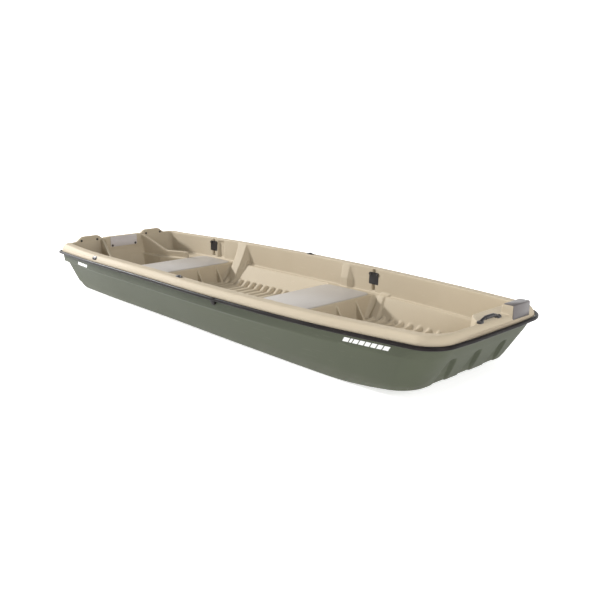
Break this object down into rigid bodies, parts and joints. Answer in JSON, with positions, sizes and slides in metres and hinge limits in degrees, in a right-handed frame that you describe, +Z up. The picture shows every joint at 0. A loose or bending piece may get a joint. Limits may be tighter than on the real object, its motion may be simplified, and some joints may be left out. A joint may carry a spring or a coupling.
{
  "type": "jon boat",
  "caption": "Flat-bottomed square-ended jon boat: moulded hull shell under a deck liner with bench seats, open cockpits, rub rail, oarlock sockets, rod holder recesses and a bow motor pad.",
  "frame": {"origin": "centre of the boat's plan on the plane its flat bottom stands on", "axes": "+X to the bow, +Y to port, +Z up"},
  "size_m": [3.66, 1.275, 0.408],
  "materials": {
    "bench": "satin",
    "hull": "satin",
    "liner": "satin",
    "plate": "satin",
    "rail": "matte",
    "trim": "semi-gloss"
  },
  "bodies": {
    "root": {"bench_top_middle": "bench", "bench_top_rear": "bench", "bow_handle_grip": "trim", "bow_mount_plate": "plate", "deck_liner": "liner", "drain_plug": "trim", "hull_shell": "hull", "oarlock_socket_port": "trim", "oarlock_socket_starboard": "trim", "rail_joint_port": "rail", "rail_joint_starboard": "rail", "rod_strap_middle_port": "trim", "rod_strap_middle_starboard": "trim", "rod_strap_rear_port": "trim", "rod_strap_rear_starboard": "trim", "rub_rail_bow": "rail", "rub_rail_stern": "rail", "side_badge_port": "trim", "side_badge_starboard": "trim", "stern_handle_port_grip": "trim", "stern_handle_starboard_grip": "trim", "transom_plate_inner": "plate", "transom_plate_outer": "plate"}
  },
  "joints": []
}
